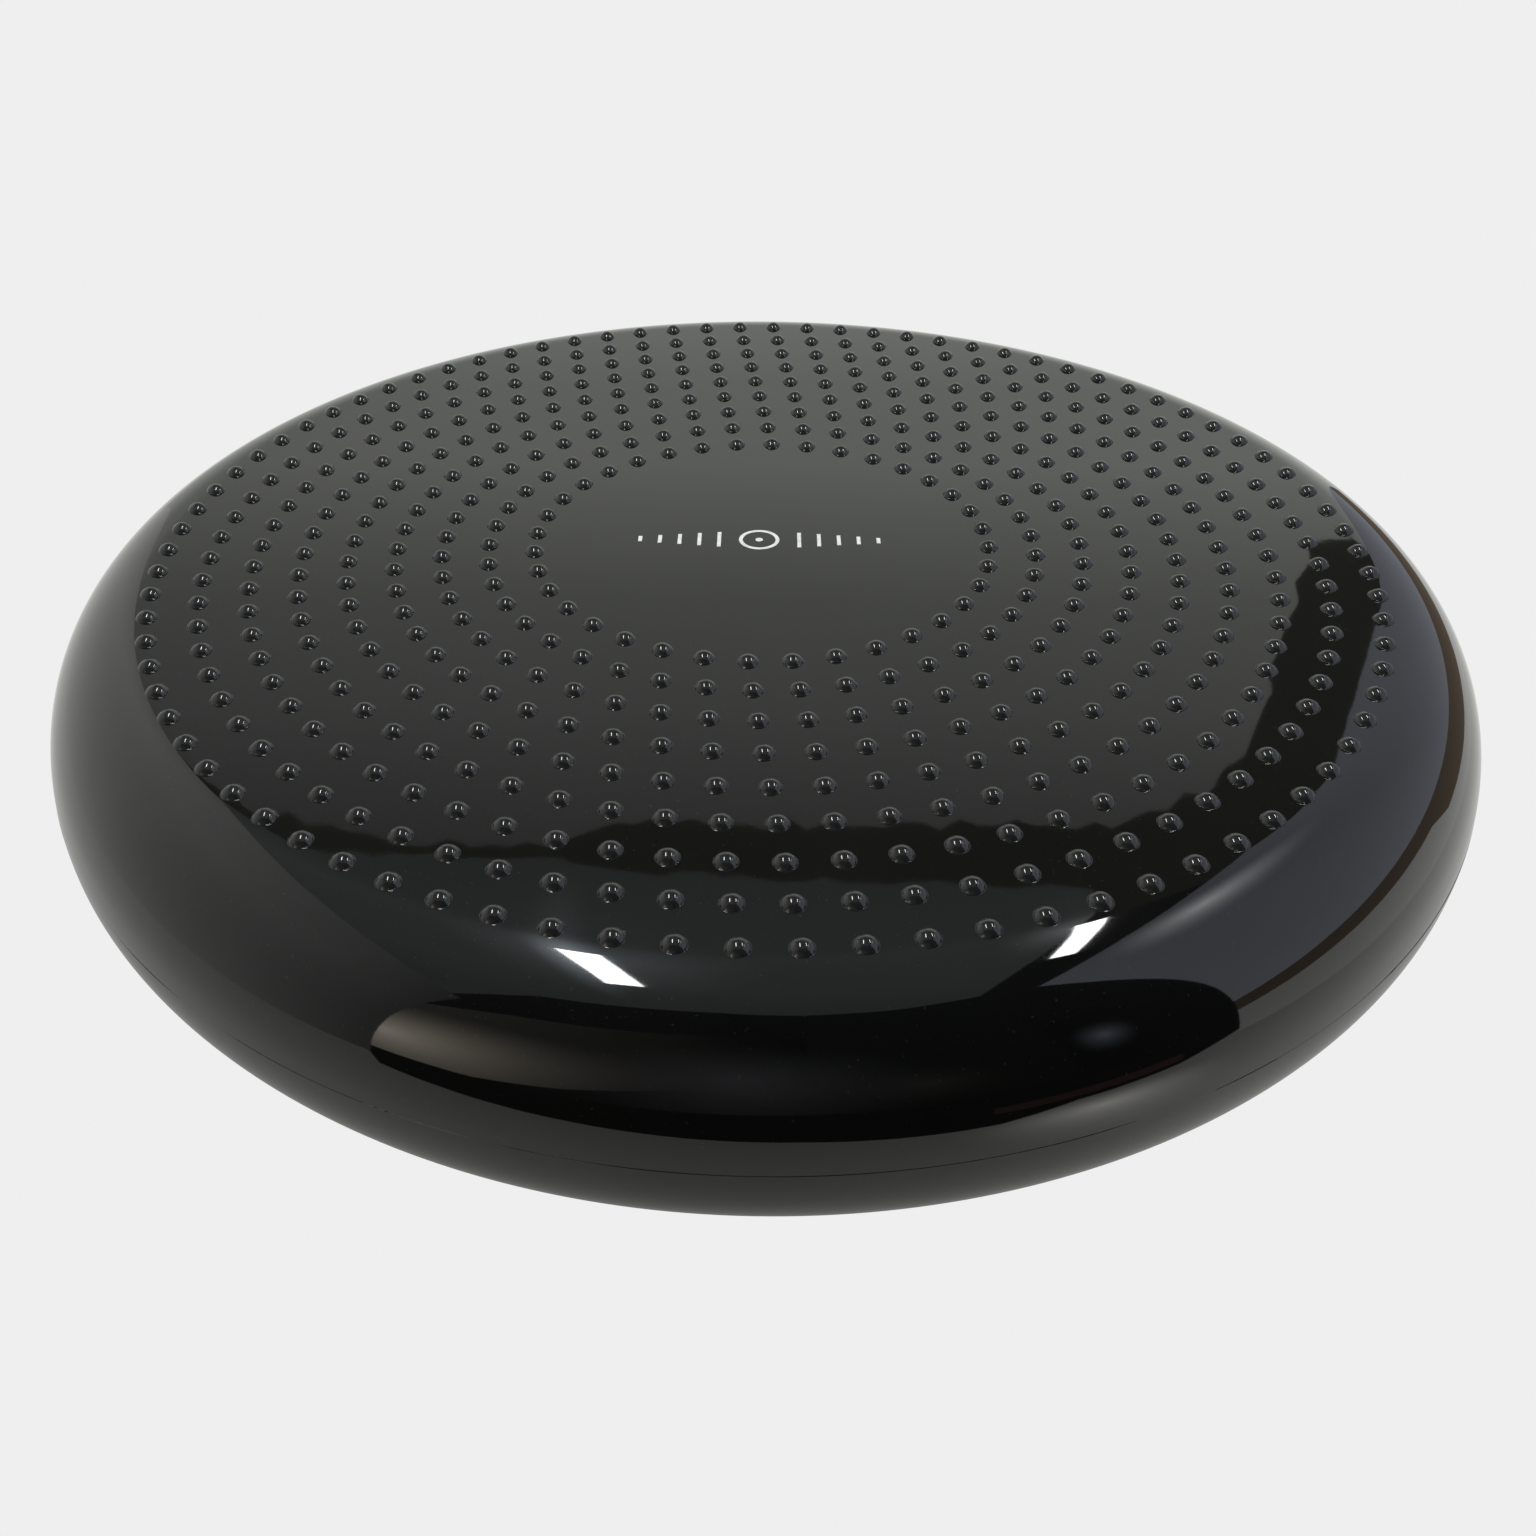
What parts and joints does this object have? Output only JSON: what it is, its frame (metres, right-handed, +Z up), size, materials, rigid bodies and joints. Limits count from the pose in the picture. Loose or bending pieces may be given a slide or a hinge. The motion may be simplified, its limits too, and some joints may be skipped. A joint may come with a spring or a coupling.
{
  "type": "wobble cushion",
  "caption": "Round air-filled balance cushion with a flat studded deck, a rounded rim, and a needle valve in its side.",
  "frame": {"origin": "centre of the round underside, on the surface the cushion rests on", "axes": "+Z up through the deck's centre, +Y towards the valve, +X to the right when the valve is at the back"},
  "size_m": [0.33, 0.3297, 0.0544],
  "materials": {
    "skin": "glossy moulded soft PVC",
    "valve_rubber": "matt",
    "stopper_plastic": "satin",
    "print_ink": "satin printed ink"
  },
  "bodies": {
    "base": {"bottom_panel": "skin", "lower_flank": "skin"},
    "waist": {"waist_band": "skin", "valve_boss": "skin", "valve_core": "valve_rubber", "upper_flank": "skin"},
    "shoulder": {"shoulder_ring": "skin"},
    "deck": {"top_panel": "skin"},
    "stopper": {"valve_stopper": "stopper_plastic"}
  },
  "joints": [
    {"name": "rock_side", "type": "hinge", "parent": "base", "child": "waist", "pos_m": [0, 0, 0.0266], "axis": [0, 1, 0], "range_deg": [-5, 5], "stiffness_Nm_per_rad": 300, "deforming": ["lower_flank"]},
    {"name": "rock_front", "type": "hinge", "parent": "waist", "child": "shoulder", "pos_m": [0, 0, 0.0266], "axis": [1, 0, 0], "range_deg": [-5, 5], "stiffness_Nm_per_rad": 300, "deforming": ["upper_flank"]},
    {"name": "deck_squash", "type": "slide", "parent": "shoulder", "child": "deck", "axis": [0, 0, 1], "range_m": [-0.01, 0], "stiffness_N_per_m": 30000, "deforming": ["shoulder_ring"]},
    {"name": "stopper_pull", "type": "slide", "parent": "waist", "child": "stopper", "axis": [0, 1, 0], "range_m": [0, 0.012]}
  ]
}
